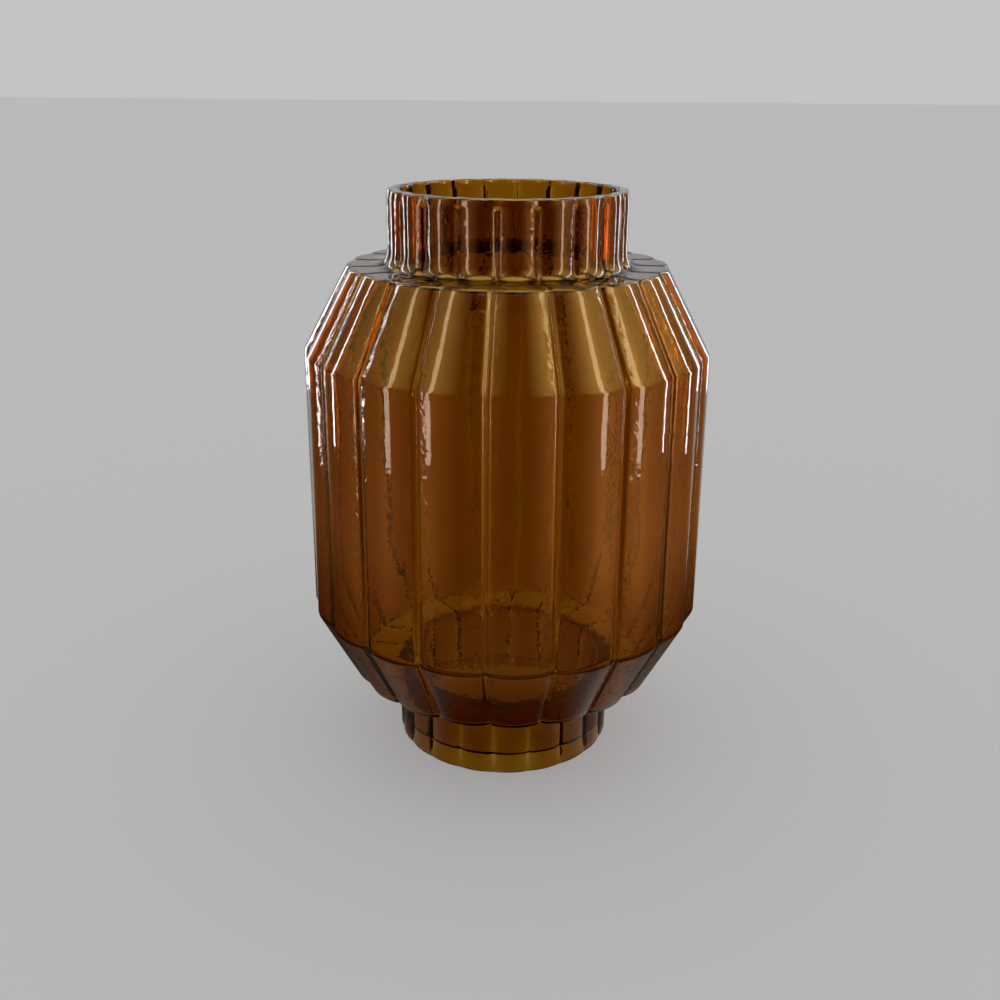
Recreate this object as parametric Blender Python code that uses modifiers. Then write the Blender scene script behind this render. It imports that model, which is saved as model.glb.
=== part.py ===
"""Mould-blown amber glass vase with twenty upright, gently rounded panels.

One continuous wall of glass, modelled as the nine sections in which it is formed, from the
fire-polished rim down to the floor of the foot. Metres, +Z up; the origin is the centre of
the ring that the vase stands on.
"""

import math

import bmesh
import bpy

MM = 0.001

# Heights of the profile, from the ring that the vase stands on.
HEIGHT = 287.2 * MM
RIM_JOINT_Z = 283.4 * MM
SHOULDER_LEDGE_Z = 252.4 * MM
BODY_TOP_Z = 211.4 * MM
BODY_BOTTOM_Z = 79.3 * MM
BASE_LEDGE_Z = 40.9 * MM

# Outer radii, measured over the crowns of the panels.
RIM_RADIUS = 57.3 * MM
NECK_RADIUS = 58.0 * MM
SHOULDER_LEDGE_RADIUS = 77.5 * MM
BODY_TOP_RADIUS = 100.0 * MM
BODY_BOTTOM_RADIUS = 100.6 * MM
BASE_LEDGE_RADIUS = 80.1 * MM
FOOT_TOP_RADIUS = 56.9 * MM
FOOT_RADIUS = 56.6 * MM

# Glass thickness, measured level in the walls and upright in the ledges and the floor.
NECK_WALL = 5.0 * MM
SHOULDER_WALL = 4.6 * MM
BODY_WALL = 3.6 * MM
BASE_WALL = 4.2 * MM
FOOT_WALL = 4.2 * MM
SHOULDER_LEDGE_THICKNESS = 2.8 * MM
BASE_LEDGE_THICKNESS = 1.8 * MM

# The floor is domed and stands clear of the ring, which leaves a hollow under the foot.
FLOOR_TOP_EDGE_Z = 11.0 * MM
FLOOR_TOP_CROWN_Z = 12.5 * MM
FLOOR_UNDER_EDGE_Z = 8.8 * MM
FLOOR_UNDER_CROWN_Z = 10.3 * MM

# Rounding of the edges.
RIM_ROUND = 1.2 * MM
NECK_FILLET = 5.5 * MM
FOOT_FILLET = 4.5 * MM
LEDGE_ROUND = 1.8 * MM
FOOT_ROUND = 1.2 * MM
ARC_STEPS = 3
DOME_STEPS = 4

# Panels, and the grooves between them. A panel falls away from its crown by PANEL_DROP at the
# middle of the groove, and the groove goes deeper by its own depth.
PANELS = 20
PANEL_DROP = 2.4 * MM
RIM_PANEL_DROP = 1.7 * MM
FOOT_PANEL_DROP = 1.0 * MM
INNER_PANEL_DROP = 2.2 * MM
GROOVE_WIDTH = 3.8 * MM
GROOVE_DEPTH = 0.6 * MM
LEDGE_GROOVE_DEPTH = 0.5 * MM
FOOT_GROOVE_DEPTH = 0.5 * MM
FIRST_GROOVE = math.radians(-4.8)
PANEL_SPREAD = math.radians(0.9)

# Neighbouring sections keep this gap.
GAP = 0.3 * MM

COLUMNS_PER_PANEL = 6
COLUMNS = PANELS * COLUMNS_PER_PANEL
MERGE_DISTANCE = 0.00001
FLUTE = "flute"

AMBER = (0.36, 0.13, 0.02, 1.0)
GLASS_ROUGHNESS = 0.05
GLASS_IOR = 1.5


def clear_scene():
    for item in list(bpy.data.objects):
        bpy.data.objects.remove(item, do_unlink=True)


def make_collection(name):
    collection = bpy.data.collections.new(name)
    bpy.context.scene.collection.children.link(collection)
    return collection


def amber_glass(name):
    """The same amber glass for every section, in a material of its own."""
    material = bpy.data.materials.new(name)
    material.use_nodes = True
    shader = material.node_tree.nodes["Principled BSDF"]
    shader.inputs["Base Color"].default_value = AMBER
    shader.inputs["Roughness"].default_value = GLASS_ROUGHNESS
    shader.inputs["Metallic"].default_value = 0.0
    shader.inputs["IOR"].default_value = GLASS_IOR
    shader.inputs["Transmission Weight"].default_value = 1.0
    return material


def arc(centre, radius, start, end, steps=ARC_STEPS):
    """Points (r, z) of an arc, from the start angle to the end angle in degrees."""
    points = []
    for step in range(steps + 1):
        angle = math.radians(start + (end - start) * step / steps)
        points.append((centre[0] + radius * math.cos(angle), centre[1] + radius * math.sin(angle)))
    return points


def line_at(upper, lower, z):
    """The radius, at height z, of the straight line between two points (r, z)."""
    share = (z - lower[1]) / (upper[1] - lower[1])
    return lower[0] + share * (upper[0] - lower[0])


def fluted(points, move, drop=PANEL_DROP):
    """Profile points (r, z) with a groove's move (r, z) and the panels' drop."""
    return [(r, z, move[0], move[1], drop) for r, z in points]


def inside(points):
    """Points of the inner surface, which follows the panels but not the grooves."""
    return fluted(points, (0.0, 0.0), INNER_PANEL_DROP)


def plain(points):
    """Points of a round surface."""
    return fluted(points, (0.0, 0.0), 0.0)


# The corners (r, z) between which the two slopes run, and how far they lean from upright.
SHOULDER_TOP = (SHOULDER_LEDGE_RADIUS, SHOULDER_LEDGE_Z)
SHOULDER_BOTTOM = (BODY_TOP_RADIUS, BODY_TOP_Z)
BASE_TOP = (BODY_BOTTOM_RADIUS, BODY_BOTTOM_Z)
BASE_BOTTOM = (BASE_LEDGE_RADIUS, BASE_LEDGE_Z)
SHOULDER_TILT = math.atan2(SHOULDER_BOTTOM[0] - SHOULDER_TOP[0], SHOULDER_TOP[1] - SHOULDER_BOTTOM[1])
BASE_TILT = math.atan2(BASE_TOP[0] - BASE_BOTTOM[0], BASE_TOP[1] - BASE_BOTTOM[1])

# How a groove moves the outer surface (r, z): level into a wall or a slope, so that the joints
# stay level, and up or down into a ledge. A ledge's outer edge is moved both ways.
INTO_WALL = (-GROOVE_DEPTH, 0.0)
INTO_SHOULDER = (-GROOVE_DEPTH / math.cos(SHOULDER_TILT), 0.0)
INTO_BASE = (-GROOVE_DEPTH / math.cos(BASE_TILT), 0.0)
INTO_FOOT = (-FOOT_GROOVE_DEPTH, 0.0)
INTO_SHOULDER_LEDGE = (0.0, -LEDGE_GROOVE_DEPTH)
INTO_BASE_LEDGE = (0.0, LEDGE_GROOVE_DEPTH)
INTO_SHOULDER_EDGE = (INTO_SHOULDER[0], -LEDGE_GROOVE_DEPTH)
INTO_BASE_EDGE = (INTO_BASE[0], LEDGE_GROOVE_DEPTH)

# The inner faces of the two ledges, and the heights of the level joints, which keep clear of the
# fillets and the ledges' inner faces.
CEILING_Z = SHOULDER_LEDGE_Z - SHOULDER_LEDGE_THICKNESS
STEP_Z = BASE_LEDGE_Z + BASE_LEDGE_THICKNESS
JOINT_CLEARANCE = 0.6 * MM
NECK_JOINT_Z = SHOULDER_LEDGE_Z + NECK_FILLET + JOINT_CLEARANCE
SHOULDER_JOINT_Z = CEILING_Z - JOINT_CLEARANCE
BASE_JOINT_Z = STEP_Z + JOINT_CLEARANCE
FOOT_JOINT_Z = BASE_LEDGE_Z - FOOT_FILLET - JOINT_CLEARANCE
FOOT_INNER_RADIUS = FOOT_RADIUS - FOOT_WALL
HALF_GAP = GAP / 2


def shoulder_radius(z):
    return line_at(SHOULDER_TOP, SHOULDER_BOTTOM, z)


def body_radius(z):
    return line_at(SHOULDER_BOTTOM, BASE_TOP, z)


def base_radius(z):
    return line_at(BASE_TOP, BASE_BOTTOM, z)


def foot_radius(z):
    return line_at((FOOT_TOP_RADIUS, BASE_LEDGE_Z), (FOOT_RADIUS, 0.0), z)


def inner_shoulder(z):
    """The point (r, z) of the shoulder slope's inner face."""
    top = (shoulder_radius(CEILING_Z) - SHOULDER_WALL, CEILING_Z)
    return line_at(top, (BODY_TOP_RADIUS - BODY_WALL, BODY_TOP_Z), z), z


def inner_base(z):
    """The point (r, z) of the base slope's inner face."""
    bottom = (base_radius(STEP_Z) - BASE_WALL, STEP_Z)
    return line_at((BODY_BOTTOM_RADIUS - BODY_WALL, BODY_BOTTOM_Z), bottom, z), z


def rim_profile():
    """The fire-polished rim: level on top between two rounded edges. The grooves end below it."""
    bottom = RIM_JOINT_Z + HALF_GAP
    inner_radius = NECK_RADIUS - NECK_WALL
    inner_edge = arc((inner_radius + RIM_ROUND, HEIGHT - RIM_ROUND), RIM_ROUND, 180.0, 90.0)
    outer_edge = arc((RIM_RADIUS - RIM_ROUND, HEIGHT - RIM_ROUND), RIM_ROUND, 90.0, 0.0)
    inner = fluted([(inner_radius, bottom)] + inner_edge, (0.0, 0.0), INNER_PANEL_DROP)
    outer = fluted(outer_edge, (0.0, 0.0), RIM_PANEL_DROP)
    return inner + outer + fluted([(NECK_RADIUS, bottom)], INTO_WALL)


def neck_profile():
    top = RIM_JOINT_Z - HALF_GAP
    bottom = NECK_JOINT_Z + HALF_GAP
    outer = fluted([(NECK_RADIUS, top), (NECK_RADIUS, bottom)], INTO_WALL)
    inner = inside([(NECK_RADIUS - NECK_WALL, bottom), (NECK_RADIUS - NECK_WALL, top)])
    return outer + inner


def shoulder_ledge_profile():
    """Neck fillet, level ledge and rounded outer edge, with the level ceiling inside."""
    top = NECK_JOINT_Z - HALF_GAP
    bottom = SHOULDER_JOINT_Z + HALF_GAP
    fillet_centre = (NECK_RADIUS + NECK_FILLET, SHOULDER_LEDGE_Z + NECK_FILLET)
    edge_centre = (SHOULDER_LEDGE_RADIUS - LEDGE_ROUND / 2, SHOULDER_LEDGE_Z - LEDGE_ROUND)
    slope_angle = math.degrees(SHOULDER_TILT)
    edge = arc(edge_centre, LEDGE_ROUND, 90.0, slope_angle)
    outer = fluted([(NECK_RADIUS, top)], INTO_WALL)
    outer += fluted(arc(fillet_centre, NECK_FILLET, 180.0, 270.0)[1:], INTO_SHOULDER_LEDGE)
    outer += fluted(edge, INTO_SHOULDER_EDGE)
    outer += fluted([(shoulder_radius(bottom), bottom)], INTO_SHOULDER)
    inner = inside([
        inner_shoulder(bottom),
        inner_shoulder(CEILING_Z),
        (NECK_RADIUS - NECK_WALL, CEILING_Z),
        (NECK_RADIUS - NECK_WALL, top),
    ])
    return outer + inner


def shoulder_slope_profile():
    top = SHOULDER_JOINT_Z - HALF_GAP
    bottom = BODY_TOP_Z + HALF_GAP
    outer = [(shoulder_radius(top), top), (shoulder_radius(bottom), bottom)]
    return fluted(outer, INTO_SHOULDER) + inside([inner_shoulder(bottom), inner_shoulder(top)])


def body_profile():
    top = BODY_TOP_Z - HALF_GAP
    bottom = BODY_BOTTOM_Z + HALF_GAP
    outer = [(body_radius(top), top), (body_radius(bottom), bottom)]
    inner = [(body_radius(bottom) - BODY_WALL, bottom), (body_radius(top) - BODY_WALL, top)]
    return fluted(outer, INTO_WALL) + inside(inner)


def base_slope_profile():
    top = BODY_BOTTOM_Z - HALF_GAP
    bottom = BASE_JOINT_Z + HALF_GAP
    outer = [(base_radius(top), top), (base_radius(bottom), bottom)]
    return fluted(outer, INTO_BASE) + inside([inner_base(bottom), inner_base(top)])


def base_ledge_profile():
    """Rounded lower edge, level underside and foot fillet, with the level step inside."""
    top = BASE_JOINT_Z - HALF_GAP
    bottom = FOOT_JOINT_Z + HALF_GAP
    edge_centre = (BASE_LEDGE_RADIUS - LEDGE_ROUND / 2, BASE_LEDGE_Z + LEDGE_ROUND)
    slope_angle = math.degrees(BASE_TILT)
    fillet_centre = (FOOT_TOP_RADIUS + FOOT_FILLET, BASE_LEDGE_Z - FOOT_FILLET)
    outer = fluted([(base_radius(top), top)], INTO_BASE)
    outer += fluted(arc(edge_centre, LEDGE_ROUND, -slope_angle, -90.0), INTO_BASE_EDGE)
    fillet = arc(fillet_centre, FOOT_FILLET, 90.0, 180.0)[:-1]
    outer += fluted(fillet, INTO_BASE_LEDGE, FOOT_PANEL_DROP)
    outer += fluted([(foot_radius(bottom), bottom)], INTO_FOOT, FOOT_PANEL_DROP)
    inner = plain([(FOOT_INNER_RADIUS, bottom), (FOOT_INNER_RADIUS, STEP_Z)])
    return outer + inner + inside([inner_base(STEP_Z), inner_base(top)])


def foot_ring_profile():
    """The standing ring: its underside is flat between two rounded edges."""
    top = FOOT_JOINT_Z - HALF_GAP
    outer = fluted([(foot_radius(top), top)], INTO_FOOT, FOOT_PANEL_DROP)
    edge = arc((FOOT_RADIUS - FOOT_ROUND, FOOT_ROUND), FOOT_ROUND, 0.0, -90.0)
    outer += fluted(edge, (0.0, 0.0), FOOT_PANEL_DROP)
    inner = arc((FOOT_INNER_RADIUS + FOOT_ROUND, FOOT_ROUND), FOOT_ROUND, -90.0, -180.0)
    return outer + plain(inner + [(FOOT_INNER_RADIUS, top)])


def dome(radius, edge_z, crown_z):
    """Points (r, z) of a shallow dome, from its edge to its middle."""
    points = []
    for step in range(DOME_STEPS, -1, -1):
        share = step / DOME_STEPS
        points.append((radius * share, edge_z + (crown_z - edge_z) * (1.0 - share * share)))
    return points


def foot_floor_profile():
    """The domed floor, whose edge sits inside the foot ring."""
    radius = FOOT_INNER_RADIUS - GAP
    top = dome(radius, FLOOR_TOP_EDGE_Z, FLOOR_TOP_CROWN_Z)
    underside = dome(radius, FLOOR_UNDER_EDGE_Z, FLOOR_UNDER_CROWN_Z)
    return plain(top[::-1] + underside)


def screw_object(name, profile, closed, collection):
    """The profile turned round the Z axis, with each point's flute values kept beside it."""
    mesh = bpy.data.meshes.new(name)
    count = len(profile)
    edges = [(i, i + 1) for i in range(count - 1)]
    if closed:
        edges.append((count - 1, 0))
    mesh.from_pydata([(point[0], 0.0, point[1]) for point in profile], edges, [])
    flute_values = mesh.attributes.new(FLUTE, "FLOAT_VECTOR", "POINT")
    for index, (_, _, move_r, move_z, drop) in enumerate(profile):
        flute_values.data[index].vector = (move_r, move_z, drop)
    item = bpy.data.objects.new(name, mesh)
    collection.objects.link(item)
    screw = item.modifiers.new("Turn", "SCREW")
    screw.axis = "Z"
    screw.angle = math.tau
    screw.steps = COLUMNS
    screw.render_steps = COLUMNS
    screw.use_merge_vertices = True
    screw.merge_threshold = MERGE_DISTANCE
    return item


def apply_modifiers(item):
    graph = bpy.context.evaluated_depsgraph_get()
    turned = bpy.data.meshes.new_from_object(item.evaluated_get(graph))
    item.modifiers.clear()
    item.data = turned


def spread(angle):
    """Panels at the front and back are a little wider than those at the two sides."""
    return angle - PANEL_SPREAD * math.sin(2.0 * angle)


def column_place(column, radius):
    """The angle of a column of points, and its place across the panel.

    A panel has its groove's bottom as the first column, and the others spread evenly from
    one edge to the other. The place is -1 and 1 at the grooves, and 0 at the crown.
    """
    panel, number = divmod(column, COLUMNS_PER_PANEL)
    start = spread(FIRST_GROOVE + math.tau * panel / PANELS)
    end = spread(FIRST_GROOVE + math.tau * (panel + 1) / PANELS)
    if number == 0:
        return start, -1.0
    edge = GROOVE_WIDTH / 2 / radius
    share = (number - 1) / (COLUMNS_PER_PANEL - 2)
    angle = start + edge + share * (end - start - 2 * edge)
    middle = (start + end) / 2
    return angle, (angle - middle) / (end - middle)


def flute(item):
    """Moves the turned points to the panels' columns, and shapes the panels and grooves."""
    mesh = item.data
    flute_values = mesh.attributes[FLUTE]
    for vertex in mesh.vertices:
        x, y, z = vertex.co
        radius = math.hypot(x, y)
        if radius < MERGE_DISTANCE:
            continue
        column = round(math.atan2(y, x) / math.tau * COLUMNS) % COLUMNS
        angle, place = column_place(column, radius)
        move_r, move_z, drop = flute_values.data[vertex.index].vector
        in_groove = 1.0 if place == -1.0 else 0.0
        radius += move_r * in_groove - drop * place * place
        vertex.co = (radius * math.cos(angle), radius * math.sin(angle), z + move_z * in_groove)
    mesh.attributes.remove(flute_values)


def close_up(item):
    """Makes every face point outwards, and shades the round ones smooth."""
    shell = bmesh.new()
    shell.from_mesh(item.data)
    bmesh.ops.remove_doubles(shell, verts=shell.verts, dist=MERGE_DISTANCE)
    bmesh.ops.recalc_face_normals(shell, faces=shell.faces)
    shell.to_mesh(item.data)
    shell.free()
    item.data.shade_smooth()
    item.data.set_sharp_from_angle(angle=math.radians(20.0))


def glass_section(name, profile, collection, closed=True):
    item = screw_object(name, profile, closed, collection)
    apply_modifiers(item)
    flute(item)
    close_up(item)
    item.data.materials.append(amber_glass(name + "_glass"))
    return item


def build_vase():
    clear_scene()
    vase = make_collection("glass_vase")
    glass_section("rim_lip", rim_profile(), vase)
    glass_section("neck_collar", neck_profile(), vase)
    glass_section("shoulder_ledge", shoulder_ledge_profile(), vase)
    glass_section("shoulder_slope", shoulder_slope_profile(), vase)
    glass_section("body_wall", body_profile(), vase)
    glass_section("base_slope", base_slope_profile(), vase)
    glass_section("base_ledge", base_ledge_profile(), vase)
    glass_section("foot_ring", foot_ring_profile(), vase)
    glass_section("foot_floor", foot_floor_profile(), vase, closed=False)


build_vase()
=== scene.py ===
"""Amber glass vase, blown into a mould with twenty upright rounded panels, in a pale studio.

The vase is one mesh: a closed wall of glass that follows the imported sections. Metres, +Z up.
"""

import collections
import math

import bpy
from mathutils import Euler, Matrix, Vector, noise


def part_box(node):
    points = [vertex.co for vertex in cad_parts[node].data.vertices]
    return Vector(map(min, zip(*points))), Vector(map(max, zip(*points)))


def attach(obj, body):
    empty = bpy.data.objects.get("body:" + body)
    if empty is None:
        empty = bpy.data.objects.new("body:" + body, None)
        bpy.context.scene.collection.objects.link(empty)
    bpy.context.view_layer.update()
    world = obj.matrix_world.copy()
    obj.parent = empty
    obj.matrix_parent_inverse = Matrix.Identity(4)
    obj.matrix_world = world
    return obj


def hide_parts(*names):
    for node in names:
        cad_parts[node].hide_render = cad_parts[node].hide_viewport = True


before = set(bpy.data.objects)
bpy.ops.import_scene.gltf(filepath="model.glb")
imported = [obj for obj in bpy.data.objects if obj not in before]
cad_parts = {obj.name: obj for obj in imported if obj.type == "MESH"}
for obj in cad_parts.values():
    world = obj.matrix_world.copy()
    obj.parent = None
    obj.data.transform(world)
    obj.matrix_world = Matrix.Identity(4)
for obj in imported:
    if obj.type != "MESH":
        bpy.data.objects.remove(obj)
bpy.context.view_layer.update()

MM = 0.001
WHITE = (1.0, 1.0, 1.0)
RIM_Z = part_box("rim_lip")[1].z
END_TOLERANCE = 0.1 * MM

# Glass thickness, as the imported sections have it: level in the walls, upright in the ledges.
NECK_WALL = 5.0 * MM
SHOULDER_WALL = 4.6 * MM
BODY_WALL = 3.6 * MM
BASE_WALL = 4.2 * MM
FOOT_WALL = 4.2 * MM
SHOULDER_LEDGE_THICKNESS = 2.8 * MM
BASE_LEDGE_THICKNESS = 1.8 * MM

# How far a ledge's inner face is from the end of the slope beside it, and how much higher the
# floor is in its middle than at its edge.
JOINT_CLEARANCE = 0.6 * MM
FLOOR_RISE = 1.5 * MM

# Panels: how many, where the first groove is, how much wider the front and back ones are, and
# how far each falls away from its crown to its edges.
PANELS = 20
FIRST_GROOVE = math.radians(-4.8)
PANEL_SPREAD = math.radians(0.9)
PANEL_DROP = 2.4 * MM
RIM_DROP = 1.7 * MM
FOOT_DROP = 1.3 * MM
FOOT_EDGE_DROP = 0.5 * MM
STEP_DROP = 0.3 * MM
INNER_DROP = 2.2 * MM

# Grooves between the panels: their depth on each section, their width, and where they end.
NECK_GROOVE = 0.75 * MM
GROOVE = 0.9 * MM
LEDGE_GROOVE = 0.5 * MM
FOOT_GROOVE = 0.9 * MM
INNER_GROOVE = 0.2 * MM
GROOVE_HALF_WIDTH = 2.1 * MM
GROOVE_END_Z = 284.6 * MM
GROOVE_END_LENGTH = 3.6 * MM

# Columns of points across half a groove, measured from its middle, then across the panel.
# Grooves keep their width down to the least radius, and narrow with the radius inside that.
GROOVE_OFFSETS = [offset * MM for offset in (0.0, 0.4, 0.8, 1.2, 1.65, 2.15, 3.0)]
PANEL_COLUMNS = 6
COLUMNS_PER_PANEL = 2 * len(GROOVE_OFFSETS) - 1 + PANEL_COLUMNS
COLUMNS = PANELS * COLUMNS_PER_PANEL
LEAST_GROOVE_RADIUS = 48.0 * MM

# A rounded corner turns by at most this much from one point to the next.
ARC_TURN = math.radians(15.0)
LEAST_ARC_STEPS = 3

# Waves left by blowing: their length and height. They fade out at the foot and at the rim.
OUTER_WAVE = (28.0 * MM, 0.10 * MM)
INNER_WAVE = (22.0 * MM, 0.30 * MM)
FINE_WAVE = (9.0 * MM, 0.06 * MM)
WAVE_FADE = 4.0 * MM

# The fine crinkle's strength on a panel, along its edges, inside, and in the floor's middle, and
# how far from a groove the edge's peak is and how far it spreads. Then the crinkle itself.
PANEL_RIPPLE = 0.35
EDGE_RIPPLE = 3.5
INNER_RIPPLE = 0.3
CENTRE_RIPPLE = 1.0
RIPPLE_EDGE = 3.2 * MM
RIPPLE_REACH = 2.2 * MM
CRINKLE_SCALE = 200.0
CRINKLE_DETAIL = 2.0
CRINKLE_ROUGHNESS = 0.65
CRINKLE_HEIGHT = 0.18 * MM

# The glass itself: how it bends light, what colour it takes on, and how quickly with thickness.
GLASS_IOR = 1.5
GLASS_COLOUR = (0.808, 0.644, 0.04)
GLASS_DENSITY = 1250.0

# The studio floor, how light it is and how much it glows, and the grey sky around it.
FLOOR_HALF = 20.0
FLOOR_GREY = 0.45
FLOOR_GLOW = 0.24
SKY_GREY = 0.55

# A dark curtain and mat around the front of the vase, which only reflections see: they paint
# dark reflections into the glass. Angles are measured at the vase, from the viewer's side, and
# reaches are distances from the middle of its foot. Each pair says where a change begins and
# where it is complete.
DARK_REFLECTION_GREY = 0.002
CURTAIN_HALF_ANGLE = math.radians(133.0)
CURTAIN_RADIUS = 1.6
CURTAIN_HEIGHT = 2.2
CURTAIN_SECTORS = 24
MAT_RADIUS = 0.0568
MAT_Z = 0.001

# The painted warm glow on the curtain, seen only as painted reflections in the glass: a broad one
# to each side, and a peak in it. It is stronger and more golden high up, weak near the foot,
# dimmer low down at the rear, and brighter on the right.
WARM_COLOUR = (1.0, 0.36, 0.08)
GOLD_COLOUR = (1.0, 0.56, 0.12)
NEAR_COLOUR = (1.0, 0.85, 0.7)
WARM_AZIMUTH = math.radians(60.0)
WARM_HALF_WIDTH = math.radians(22.0)
WARM_PEAK = 1.0
BROAD_AZIMUTHS = (math.radians(12.0), math.radians(50.0))
WARM_BROAD = 1.45
GOLD_HEIGHTS = (0.3, 1.2)
WARM_ABOVE = 1.8
FAR_REACH = (0.2, 0.45)
NEAR_GLOW = 0.12
WARM_REACH = (0.1, 0.2)
REAR_AZIMUTHS = (math.radians(70.0), math.radians(120.0))
REAR_DIMMING = 0.65
RIGHT_GAIN = 0.35

# A painted pool of amber light on the mat in front, standing in for the light the vase throws on
# a table; it shows only as a painted reflection in the glass.
FRONT_AZIMUTHS = (math.radians(50.0), math.radians(20.0))
PAINTED_POOL_GLOW = 0.6
PAINTED_POOL_REACH = (0.08, 0.12)
PAINTED_POOL_COLOUR = (1.0, 0.28, 0.05)

# A round warm canopy overhead: a glowing disc, no lamp, seen only as a painted reflection.
CANOPY_Z = 1.3
CANOPY_RADIUS = 0.7
CANOPY_SECTORS = 48
CANOPY_COLOUR = (1.0, 0.55, 0.08)
CANOPY_PAINTED_GLOW = 7.5

# Upright lights, each made once on the left and once on the right. The azimuth is in degrees
# from the viewer's side. The last value says whether the light shows through the glass: the
# front ones don't, because they would stand as bright blocks in the views from behind.
Light = collections.namedtuple("Light", "name azimuth distance low high width radiance colour through")
LIGHTS = [
    Light("strip", 57.0, 0.62, 0.0, 0.35, 0.08, 6.5, (1.0, 0.78, 0.60), False),
    Light("box", 57.0, 0.62, 0.35, 1.1, 0.08, 6.0, (1.0, 0.76, 0.44), False),
    Light("side_strip", 105.0, 0.62, 0.0, 1.1, 0.04, 12.0, WHITE, True),
    Light("rear_strip", 140.0, 0.80, 0.0, 1.0, 0.08, 6.0, WHITE, True),
]

# The camera: it looks down on the vase, turned and rolled a little, as in the photograph. The
# lens and the sensor are in millimetres, and the angles in radians.
CAMERA_PLACE = (0.0, -0.5565, 0.3351)
CAMERA_LENS = 40.9
CAMERA_SENSOR = 36.0
CAMERA_CLIP = 0.05
CAMERA_DOWN = 0.354
CAMERA_TURN = 0.005
CAMERA_ROLL = 0.008

# Glass needs many bounces, because a ray crosses four surfaces of it or more.
GLASS_BOUNCES = 32
GLOSSY_BOUNCES = 12

# A corner of the turned outline: its radius and height, how it is rounded, the depth of the
# grooves and the drop of the panels there, and the step between points on the way to the next.
# A station is a ring of points on that outline, on the inside or on the outside of the glass.
Corner = collections.namedtuple("Corner", "r z round groove drop step")
Station = collections.namedtuple("Station", "r z normal groove drop inner")


def end_ring(node, top):
    """The greatest radius and the height of a section's top or bottom end."""
    low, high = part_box(node)
    z = high.z if top else low.z
    points = [vertex.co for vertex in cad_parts[node].data.vertices]
    return max(math.hypot(p.x, p.y) for p in points if abs(p.z - z) < END_TOLERANCE), z


def line_at(first, second, z):
    """The radius at height z of the line through two points (r, z)."""
    return first[0] + (second[0] - first[0]) * (z - first[1]) / (second[1] - first[1])


def middle(first, second):
    """The point halfway between two points (r, z)."""
    return tuple((a + b) / 2 for a, b in zip(first, second))


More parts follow.
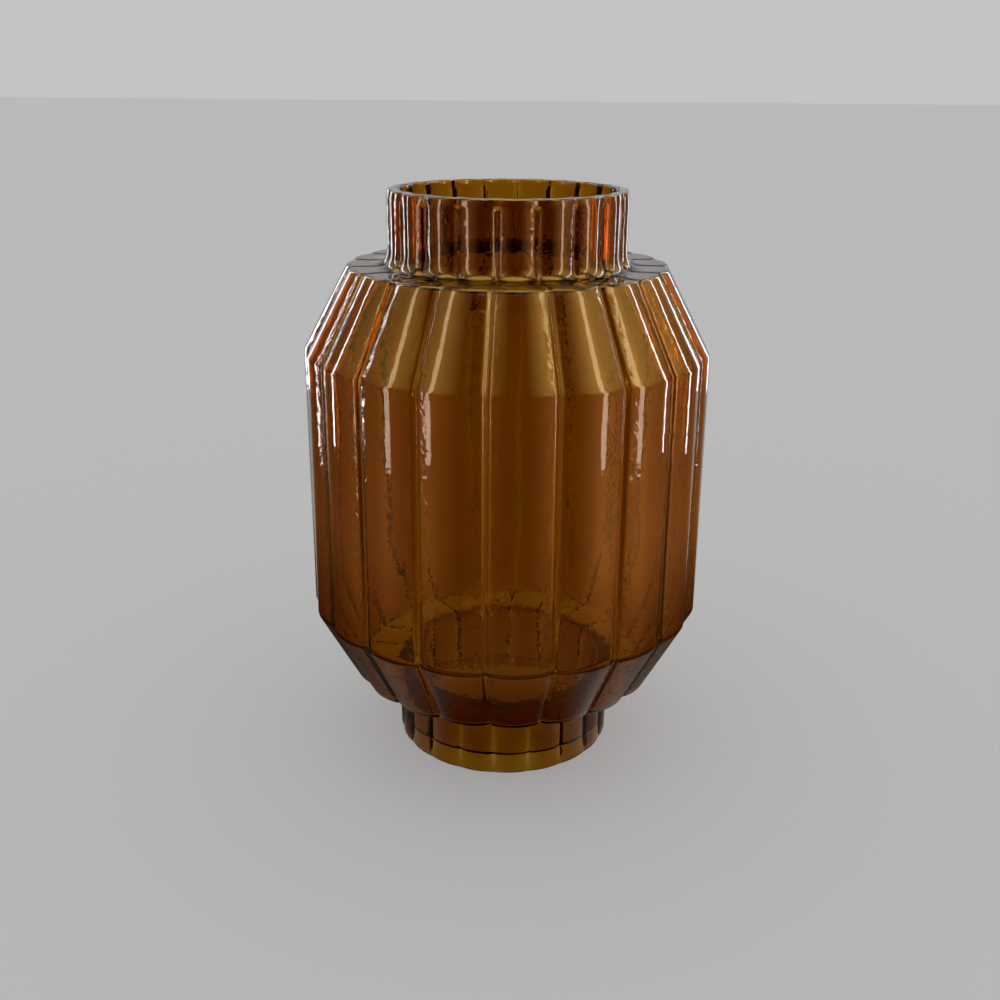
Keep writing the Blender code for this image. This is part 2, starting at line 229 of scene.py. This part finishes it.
def vase_corners():
    """Corners of the turned outline: out along the underside, up the outside, over the rim,
    down the inside and in along the floor. The second list starts at the rim's inner corner."""
    slope_top = end_ring("shoulder_slope", True)
    slope_bottom = end_ring("shoulder_slope", False)
    base_top = end_ring("base_slope", True)
    base_bottom = end_ring("base_slope", False)
    body_top = middle(end_ring("body_wall", True), slope_bottom)
    body_bottom = middle(end_ring("body_wall", False), base_top)
    neck = end_ring("neck_collar", False)[0]
    foot = end_ring("foot_ring", True)[0]
    floor_low, floor_high = (corner.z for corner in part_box("foot_floor"))
    ceiling_z = slope_top[1] + JOINT_CLEARANCE
    step_z = base_bottom[1] - JOINT_CLEARANCE
    ledge_z = ceiling_z + SHOULDER_LEDGE_THICKNESS
    base_z = step_z - BASE_LEDGE_THICKNESS
    ledge = line_at(slope_top, slope_bottom, ledge_z)
    ceiling = line_at(slope_top, slope_bottom, ceiling_z) - SHOULDER_WALL
    step = line_at(base_top, base_bottom, step_z) - BASE_WALL
    base = line_at(base_top, base_bottom, base_z)
    groove_start_z = GROOVE_END_Z - GROOVE_END_LENGTH
    groove_middle_z = GROOVE_END_Z - GROOVE_END_LENGTH / 2
    neck_inside = neck - NECK_WALL
    body_inside_high = body_top[0] - BODY_WALL
    body_inside_low = body_bottom[0] - BODY_WALL
    foot_inside = foot - FOOT_WALL

    outside = [
        # The domed underside of the floor, and the standing ring.
        Corner(0.0, floor_low + FLOOR_RISE, 0.0, 0.0, 0.0, 6.0 * MM),
        Corner(foot_inside, floor_low + 0.8 * MM, 0.4 * MM, 0.0, 0.0, 2.5 * MM),
        Corner(foot_inside + 0.3 * MM, 0.0, 1.2 * MM, 0.0, 0.0, 2.0 * MM),
        Corner(foot - 0.3 * MM, 0.0, 1.4 * MM, 0.0, FOOT_EDGE_DROP, 2.5 * MM),
        # The foot, and the fillet below the lower ledge.
        Corner(foot - 0.1 * MM, 9.0 * MM, 0.0, FOOT_GROOVE, FOOT_DROP, 5.0 * MM),
        Corner(foot, base_z, 4.5 * MM, FOOT_GROOVE, FOOT_DROP, 3.5 * MM),
        # The lower ledge's edge, the body, and the shoulder ledge's edge.
        Corner(base, base_z, 2.6 * MM, LEDGE_GROOVE, PANEL_DROP, 4.5 * MM),
        Corner(body_bottom[0], body_bottom[1], 1.5 * MM, GROOVE, PANEL_DROP, 6.0 * MM),
        Corner(body_top[0], body_top[1], 3.0 * MM, GROOVE, PANEL_DROP, 5.0 * MM),
        Corner(ledge, ledge_z, 2.0 * MM, LEDGE_GROOVE, PANEL_DROP, 3.5 * MM),
        # The fillet at the foot of the neck, the soft ends of its grooves, and the rim.
        Corner(neck, ledge_z, 6.5 * MM, LEDGE_GROOVE, PANEL_DROP, 4.0 * MM),
        Corner(neck, groove_start_z, 0.0, NECK_GROOVE, PANEL_DROP, 0.6 * MM),
        Corner(neck, groove_middle_z, 0.0, 0.5 * NECK_GROOVE, PANEL_DROP, 0.6 * MM),
        Corner(neck - 0.2 * MM, GROOVE_END_Z, 0.0, 0.0, RIM_DROP, 0.8 * MM),
        Corner(neck - 0.7 * MM, RIM_Z, 1.0 * MM, 0.0, RIM_DROP, 1.2 * MM),
    ]
    inside = [
        # The rim, the neck and the ceiling under the shoulder ledge.
        Corner(neck_inside, RIM_Z, 0.9 * MM, 0.0, INNER_DROP, 3.0 * MM),
        Corner(neck_inside, ceiling_z, 2.5 * MM, -INNER_GROOVE, INNER_DROP, 4.0 * MM),
        Corner(ceiling, ceiling_z, 1.5 * MM, -INNER_GROOVE, INNER_DROP, 5.5 * MM),
        # The body, down to the step above the foot.
        Corner(body_inside_high, body_top[1] - 1.0 * MM, 8.0 * MM, -INNER_GROOVE, INNER_DROP, 6.5 * MM),
        Corner(body_inside_low, body_bottom[1] + 1.0 * MM, 6.0 * MM, -INNER_GROOVE, INNER_DROP, 5.5 * MM),
        Corner(step, step_z, 2.0 * MM, 0.0, INNER_DROP, 4.0 * MM),
        # The foot's well and the domed floor.
        Corner(foot_inside, step_z, 0.9 * MM, 0.0, STEP_DROP, 5.0 * MM),
        Corner(foot_inside, floor_high - FLOOR_RISE - 0.4 * MM, 0.4 * MM, 0.0, 0.0, 6.0 * MM),
        Corner(0.0, floor_high, 0.0, 0.0, 0.0, 6.0 * MM),
    ]
    return outside, inside


def corner_arc(before, corner, after):
    """Points of the arc that rounds a corner, or the corner itself where it isn't rounded."""
    here = Vector((corner.r, corner.z))
    if corner.round == 0.0:
        return [here]
    back = (Vector((before.r, before.z)) - here).normalized()
    ahead = (Vector((after.r, after.z)) - here).normalized()
    turn = math.pi - back.angle(ahead)
    reach = corner.round * math.tan(turn / 2)
    centre = here + (back + ahead).normalized() * corner.round / math.cos(turn / 2)
    first = here + back * reach - centre
    last = here + ahead * reach - centre
    steps = max(LEAST_ARC_STEPS, math.ceil(turn / ARC_TURN))
    points = []
    for step in range(steps + 1):
        share = step / steps
        weights = math.sin((1 - share) * turn), math.sin(share * turn)
        points.append(centre + (first * weights[0] + last * weights[1]) / math.sin(turn))
    return points


def outline_stations():
    """The outline as points with normals, from the middle of the underside to that of the floor."""
    outside, inside = vase_corners()
    corners = outside + inside
    values = []
    for index, corner in enumerate(corners):
        if index in (0, len(corners) - 1):
            arc = [Vector((corner.r, corner.z))]
        else:
            arc = corner_arc(corners[index - 1], corner, corners[index + 1])
        if values:
            start, groove, drop, _ = values[-1]
            runs = math.ceil((arc[0] - start).length / corners[index - 1].step)
            for run in range(1, runs):
                share = run / runs
                values.append((
                    start.lerp(arc[0], share),
                    groove + (corner.groove - groove) * share,
                    drop + (corner.drop - drop) * share,
                    index > len(outside),
                ))
        on_inside = index >= len(outside)
        values += [(point, corner.groove, corner.drop, on_inside) for point in arc]
    stations = []
    for index, (point, groove, drop, on_inside) in enumerate(values):
        ahead = values[min(index + 1, len(values) - 1)][0]
        behind = values[max(index - 1, 0)][0]
        along = (ahead - behind).normalized()
        normal = Vector((along.y, -along.x))
        stations.append(Station(point.x, point.y, normal, groove, drop, on_inside))
    return stations


def spread(angle):
    """Panels at the front and back are a little wider than those at the two sides."""
    return angle - PANEL_SPREAD * math.sin(2.0 * angle)


def column_place(column, radius):
    """A column's angle, its distance from the nearest groove's middle, and its place across
    the panel, from -1 to 1."""
    panel, number = divmod(column, COLUMNS_PER_PANEL)
    start = spread(FIRST_GROOVE + math.tau * panel / PANELS)
    end = spread(FIRST_GROOVE + math.tau * (panel + 1) / PANELS)
    reach = max(radius, LEAST_GROOVE_RADIUS)
    edge = GROOVE_OFFSETS[-1] / reach
    last_offset = len(GROOVE_OFFSETS) - 1
    if number <= last_offset:
        angle = start + GROOVE_OFFSETS[number] / reach
    elif number <= last_offset + PANEL_COLUMNS:
        share = (number - last_offset) / (PANEL_COLUMNS + 1)
        angle = start + edge + share * (end - start - 2 * edge)
    else:
        angle = end - GROOVE_OFFSETS[COLUMNS_PER_PANEL - number] / reach
    distance = min(angle - start, end - angle) * reach
    centre = (start + end) / 2
    return angle, distance, (angle - centre) / (end - centre)


def groove_share(distance):
    """How much of a groove's depth is left at this distance from its middle."""
    if distance >= GROOVE_HALF_WIDTH:
        return 0.0
    return 0.5 + 0.5 * math.cos(math.pi * distance / GROOVE_HALF_WIDTH)


def wave_at(point, inner):
    """Height of the glass's unevenness at a point. Its waves are twice as long upright as round.
    Outside it is never above the smooth form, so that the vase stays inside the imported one."""
    size, height = INNER_WAVE if inner else OUTER_WAVE
    wave = height * noise.noise(Vector((point.x / size, point.y / size, point.z / (2.0 * size))))
    if not inner:
        return wave - height
    size, height = FINE_WAVE
    return wave + height * noise.noise(point / size)


def vase_point(station, column):
    """The point where a column crosses a station: dropped, grooved and uneven as it is there."""
    angle, distance, place = column_place(column, station.r)
    push = -station.groove * groove_share(distance)
    radius = station.r - station.drop * place * place + push * station.normal.x
    z = station.z + push * station.normal.y
    point = Vector((radius * math.cos(angle), radius * math.sin(angle), z))
    fade = min(1.0, station.z / WAVE_FADE, (RIM_Z - station.z) / WAVE_FADE)
    rise = fade * wave_at(point, station.inner)
    level = rise * station.normal.x
    return point + Vector((level * math.cos(angle), level * math.sin(angle), rise * station.normal.y))


def ripple_at(station, column):
    """How rippled the surface is: most along the two edges of each panel."""
    if station.inner:
        return INNER_RIPPLE
    distance = column_place(column, station.r)[1]
    share = max(0.0, 1.0 - abs(distance - RIPPLE_EDGE) / RIPPLE_REACH)
    return PANEL_RIPPLE + (EDGE_RIPPLE - PANEL_RIPPLE) * share


def vase_mesh():
    """The closed wall of glass, with how rippled it is as an attribute of its points."""
    stations = outline_stations()
    points = [Vector((0.0, 0.0, stations[0].z))]
    ripples = [CENTRE_RIPPLE]
    for station in stations[1:-1]:
        points += [vase_point(station, column) for column in range(COLUMNS)]
        ripples += [ripple_at(station, column) for column in range(COLUMNS)]
    points.append(Vector((0.0, 0.0, stations[-1].z)))
    ripples.append(CENTRE_RIPPLE)

    rings = len(stations) - 2
    last = len(points) - 1
    faces = []
    for column in range(COLUMNS):
        after = (column + 1) % COLUMNS
        faces.append((0, 1 + after, 1 + column))
        for ring in range(rings - 1):
            low = 1 + ring * COLUMNS
            high = low + COLUMNS
            faces.append((low + column, low + after, high + after, high + column))
        top = 1 + (rings - 1) * COLUMNS
        faces.append((top + column, top + after, last))
    mesh = bpy.data.meshes.new("vase_glass")
    mesh.from_pydata(points, [], faces)
    mesh.attributes.new("ripple", "FLOAT", "POINT").data.foreach_set("value", ripples)
    mesh.shade_smooth()
    return mesh


def amber_glass():
    """Clear glass that is coloured by its thickness, with a fine crinkle as strong as the mesh's
    ripple attribute says."""
    material = bpy.data.materials.new("amber_glass")
    material.use_nodes = True
    nodes = material.node_tree.nodes
    links = material.node_tree.links
    shader = nodes["Principled BSDF"]
    shader.inputs["Base Color"].default_value = (*WHITE, 1.0)
    shader.inputs["Roughness"].default_value = 0.0
    shader.inputs["IOR"].default_value = GLASS_IOR
    shader.inputs["Transmission Weight"].default_value = 1.0

    place = nodes.new("ShaderNodeTexCoord")
    crinkle = nodes.new("ShaderNodeTexNoise")
    crinkle.inputs["Scale"].default_value = CRINKLE_SCALE
    crinkle.inputs["Detail"].default_value = CRINKLE_DETAIL
    crinkle.inputs["Roughness"].default_value = CRINKLE_ROUGHNESS
    links.new(place.outputs["Object"], crinkle.inputs["Vector"])
    ripple = nodes.new("ShaderNodeAttribute")
    ripple.attribute_name = "ripple"
    bump = nodes.new("ShaderNodeBump")
    bump.inputs["Distance"].default_value = CRINKLE_HEIGHT
    links.new(ripple.outputs["Fac"], bump.inputs["Strength"])
    links.new(crinkle.outputs["Fac"], bump.inputs["Height"])
    links.new(bump.outputs["Normal"], shader.inputs["Normal"])

    absorption = nodes.new("ShaderNodeVolumeAbsorption")
    absorption.inputs["Color"].default_value = (*GLASS_COLOUR, 1.0)
    absorption.inputs["Density"].default_value = GLASS_DENSITY
    links.new(absorption.outputs["Volume"], nodes["Material Output"].inputs["Volume"])
    return material


def add_mesh_object(name, points, faces, material):
    """A new object in the scene, made of these points and faces."""
    mesh = bpy.data.meshes.new(name)
    mesh.from_pydata(points, [], faces)
    mesh.materials.append(material)
    item = bpy.data.objects.new(name, mesh)
    bpy.context.scene.collection.objects.link(item)
    return item


def add_vase():
    """The vase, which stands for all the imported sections."""
    vase = bpy.data.objects.new("vase_glass", vase_mesh())
    bpy.context.scene.collection.objects.link(vase)
    vase.data.materials.append(amber_glass())
    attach(vase, "root")
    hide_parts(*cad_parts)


def matte(name, grey, glow, colour=WHITE):
    """A plain grey surface without gloss, which may also glow a little, as a light table does."""
    material = bpy.data.materials.new(name)
    material.use_nodes = True
    shader = material.node_tree.nodes["Principled BSDF"]
    shader.inputs["Base Color"].default_value = (grey, grey, grey, 1.0)
    shader.inputs["Roughness"].default_value = 1.0
    shader.inputs["Specular IOR Level"].default_value = 0.0
    shader.inputs["Emission Color"].default_value = (*colour, 1.0)
    shader.inputs["Emission Strength"].default_value = glow
    return material


def add_floor():
    """The pale floor of the studio."""
    half = FLOOR_HALF
    corners = [(-half, -half, 0.0), (half, -half, 0.0), (half, half, 0.0), (-half, half, 0.0)]
    paint = matte("pale_floor", FLOOR_GREY, FLOOR_GLOW)
    add_mesh_object("studio_floor", corners, [(0, 1, 2, 3)], paint)


def fill_socket(tree, socket, value):
    """Link a node's output to a socket, or set a plain value on it."""
    if isinstance(value, bpy.types.NodeSocket):
        tree.links.new(value, socket)
    else:
        socket.default_value = value


def node_value(tree, operation, *inputs):
    """The output of a Math node. Each input is a number or another node's output."""
    node = tree.nodes.new("ShaderNodeMath")
    node.operation = operation
    for socket, value in zip(node.inputs, inputs):
        fill_socket(tree, socket, value)
    return node.outputs["Value"]


def node_fade(tree, value, start, end):
    """A smooth step: 0 where the value is at the start, and 1 at the end."""
    node = tree.nodes.new("ShaderNodeMapRange")
    node.interpolation_type = "SMOOTHSTEP"
    node.inputs["From Min"].default_value = start
    node.inputs["From Max"].default_value = end
    tree.links.new(value, node.inputs["Value"])
    return node.outputs["Result"]


def node_blend(tree, share, first, second):
    """The mix of two colours, each a value or another node's output."""
    node = tree.nodes.new("ShaderNodeMix")
    node.data_type = "RGBA"
    tree.links.new(share, node.inputs["Factor"])
    colours = [socket for socket in node.inputs if socket.type == "RGBA"]
    for socket, value in zip(colours, (first, second)):
        fill_socket(tree, socket, value)
    return next(socket for socket in node.outputs if socket.type == "RGBA")


def node_reach(tree, place):
    """How far a point is from the object's origin."""
    node = tree.nodes.new("ShaderNodeVectorMath")
    node.operation = "LENGTH"
    tree.links.new(place.outputs["Object"], node.inputs[0])
    return node.outputs["Value"]


def show_to_reflections_only(item):
    """Leave an object to glossy rays: no picture, shadow or light of its own otherwise."""
    item.visible_camera = False
    item.visible_diffuse = False
    item.visible_transmission = False
    item.visible_volume_scatter = False
    item.visible_shadow = False


def painted_reflection_cloth():
    """Black cloth that only reflections see, with a painted warm glow to the left and to the right
    of the viewer, and with a painted pool of amber light close to the vase: painted reflections."""
    material = matte("painted_reflection_cloth", DARK_REFLECTION_GREY, 0.0)
    tree = material.node_tree
    place = tree.nodes.new("ShaderNodeTexCoord")
    parts = tree.nodes.new("ShaderNodeSeparateXYZ")
    tree.links.new(place.outputs["Object"], parts.inputs["Vector"])
    forwards = node_value(tree, "MULTIPLY", parts.outputs["Y"], -1.0)
    side = node_value(tree, "ARCTAN2", parts.outputs["X"], forwards)
    azimuth = node_value(tree, "ABSOLUTE", side)
    reach = node_reach(tree, place)

    # The painted warm glow, seen in the glass only as painted reflections.
    off_peak = node_value(tree, "ABSOLUTE", node_value(tree, "SUBTRACT", azimuth, WARM_AZIMUTH))
    peak = node_fade(tree, off_peak, WARM_HALF_WIDTH, 0.0)
    broad = node_value(tree, "MULTIPLY", node_fade(tree, azimuth, *BROAD_AZIMUTHS), WARM_BROAD)
    glow = node_value(tree, "MULTIPLY_ADD", peak, WARM_PEAK, broad)
    high_up = node_fade(tree, parts.outputs["Z"], *GOLD_HEIGHTS)
    height_factor = node_value(tree, "MULTIPLY_ADD", high_up, WARM_ABOVE - 1.0, 1.0)
    far = node_fade(tree, reach, *FAR_REACH)
    reach_factor = node_value(tree, "MULTIPLY_ADD", far, 1.0 - NEAR_GLOW, NEAR_GLOW)
    rear = node_fade(tree, azimuth, *REAR_AZIMUTHS)
    low_rear = node_value(tree, "MULTIPLY", rear, node_value(tree, "SUBTRACT", 1.0, high_up))
    rear_factor = node_value(tree, "MULTIPLY_ADD", low_rear, -REAR_DIMMING, 1.0)
    side_factor = node_value(tree, "MULTIPLY_ADD", node_value(tree, "SINE", side), RIGHT_GAIN, 1.0)
    for factor in (height_factor, reach_factor, rear_factor, side_factor):
        glow = node_value(tree, "MULTIPLY", glow, factor)

    # The painted pool of amber light close to the vase, seen only as a painted reflection.
    front = node_fade(tree, azimuth, *FRONT_AZIMUTHS)
    painted_pool = node_fade(tree, reach, *PAINTED_POOL_REACH)
    painted_pool = node_value(tree, "MULTIPLY", painted_pool, node_value(tree, "SUBTRACT", 1.0, far))
    painted_pool = node_value(tree, "MULTIPLY", painted_pool, front)
    strength = node_value(tree, "MULTIPLY_ADD", painted_pool, PAINTED_POOL_GLOW, glow)

    near_tint = node_blend(tree, front, (*NEAR_COLOUR, 1.0), (*PAINTED_POOL_COLOUR, 1.0))
    low_tint = node_blend(tree, node_fade(tree, reach, *WARM_REACH), near_tint, (*WARM_COLOUR, 1.0))
    tint = node_blend(tree, high_up, low_tint, (*GOLD_COLOUR, 1.0))
    shader = tree.nodes["Principled BSDF"]
    tree.links.new(strength, shader.inputs["Emission Strength"])
    tree.links.new(tint, shader.inputs["Emission Color"])
    return material


def add_curtain():
    """A dark curtain and mat around the front of the vase. Only reflections see them: they paint
    dark and warm reflections into the glass, so that it keeps its depth of colour on the viewer's side."""
    profile = [(MAT_RADIUS, MAT_Z), (CURTAIN_RADIUS, MAT_Z), (CURTAIN_RADIUS, CURTAIN_HEIGHT)]
    points = []
    for sector in range(CURTAIN_SECTORS + 1):
        turn = CURTAIN_HALF_ANGLE * (2.0 * sector / CURTAIN_SECTORS - 1.0)
        points += [(r * math.sin(turn), -r * math.cos(turn), z) for r, z in profile]
    faces = []
    for sector in range(CURTAIN_SECTORS):
        for step in range(len(profile) - 1):
            low = sector * len(profile) + step
            high = low + len(profile)
            faces.append((low, high, high + 1, low + 1))
    curtain = add_mesh_object("painted_reflection_curtain", points, faces, painted_reflection_cloth())
    show_to_reflections_only(curtain)


def canopy_painted_reflection():
    """A painted warm glow that is brightest in the middle, which shows only as a painted reflection."""
    material = matte("canopy_painted_reflection", DARK_REFLECTION_GREY, 0.0, CANOPY_COLOUR)
    tree = material.node_tree
    reach = node_reach(tree, tree.nodes.new("ShaderNodeTexCoord"))
    share = node_fade(tree, reach, CANOPY_RADIUS, 0.5 * CANOPY_RADIUS)
    strength = node_value(tree, "MULTIPLY", share, CANOPY_PAINTED_GLOW)
    tree.links.new(strength, tree.nodes["Principled BSDF"].inputs["Emission Strength"])
    return material


def add_canopy():
    """A round warm canopy above the vase, which faces down. Only reflections see it: a glowing disc,
    no lamp, that paints a warm reflection into the glass.
    """
    points = []
    for sector in range(CANOPY_SECTORS):
        angle = math.tau * sector / CANOPY_SECTORS
        points.append((CANOPY_RADIUS * math.cos(angle), CANOPY_RADIUS * math.sin(angle), 0.0))
    face = tuple(reversed(range(CANOPY_SECTORS)))
    canopy = add_mesh_object("canopy", points, [face], canopy_painted_reflection())
    canopy.location.z = CANOPY_Z
    show_to_reflections_only(canopy)


def add_light(light, side, sign):
    """One of the lights, on the right where the sign is 1 and on the left where it is -1. It is
    seen in the glass and leaves the floor to the sky."""
    name = side + "_" + light.name
    height = light.high - light.low
    lamp_data = bpy.data.lights.new(name, "AREA")
    lamp_data.shape = "RECTANGLE"
    lamp_data.size = light.width
    lamp_data.size_y = height
    lamp_data.energy = light.radiance * math.pi * light.width * height
    lamp_data.color = light.colour
    lamp = bpy.data.objects.new(name, lamp_data)
    bpy.context.scene.collection.objects.link(lamp)
    turn = math.radians(sign * light.azimuth)
    middle_z = (light.low + light.high) / 2
    lamp.location = (light.distance * math.sin(turn), -light.distance * math.cos(turn), middle_z)
    lamp.rotation_euler = Euler((math.radians(90.0), 0.0, turn))
    lamp.visible_camera = False
    lamp.visible_diffuse = False
    lamp.visible_transmission = light.through


def add_lights():
    """The upright lights, and a pale grey sky."""
    for side, sign in (("left", -1.0), ("right", 1.0)):
        for light in LIGHTS:
            add_light(light, side, sign)
    world = bpy.data.worlds.new("studio")
    bpy.context.scene.world = world
    world.use_nodes = True
    background = world.node_tree.nodes["Background"]
    background.inputs["Color"].default_value = (SKY_GREY, SKY_GREY, SKY_GREY, 1.0)
    background.inputs["Strength"].default_value = 1.0


def add_camera():
    """The camera, at the photograph's viewing angle."""
    camera = bpy.data.cameras.new("camera")
    camera.sensor_width = CAMERA_SENSOR
    camera.lens = CAMERA_LENS
    camera.clip_start = CAMERA_CLIP
    viewer = bpy.data.objects.new("camera", camera)
    bpy.context.scene.collection.objects.link(viewer)
    turn = Matrix.Rotation(CAMERA_TURN, 4, "Z") @ Matrix.Rotation(math.pi / 2 - CAMERA_DOWN, 4, "X")
    turn = turn @ Matrix.Rotation(CAMERA_ROLL, 4, "Z")
    viewer.matrix_world = Matrix.Translation(CAMERA_PLACE) @ turn
    bpy.context.scene.camera = viewer


def set_up_colours_and_bounces():
    """Plain colours, and enough bounces for light to pass through the whole vase."""
    scene = bpy.context.scene
    scene.view_settings.view_transform = "Standard"
    scene.cycles.max_bounces = GLASS_BOUNCES
    scene.cycles.transmission_bounces = GLASS_BOUNCES
    scene.cycles.glossy_bounces = GLOSSY_BOUNCES


add_vase()
add_floor()
add_curtain()
add_canopy()
add_lights()
add_camera()
set_up_colours_and_bounces()
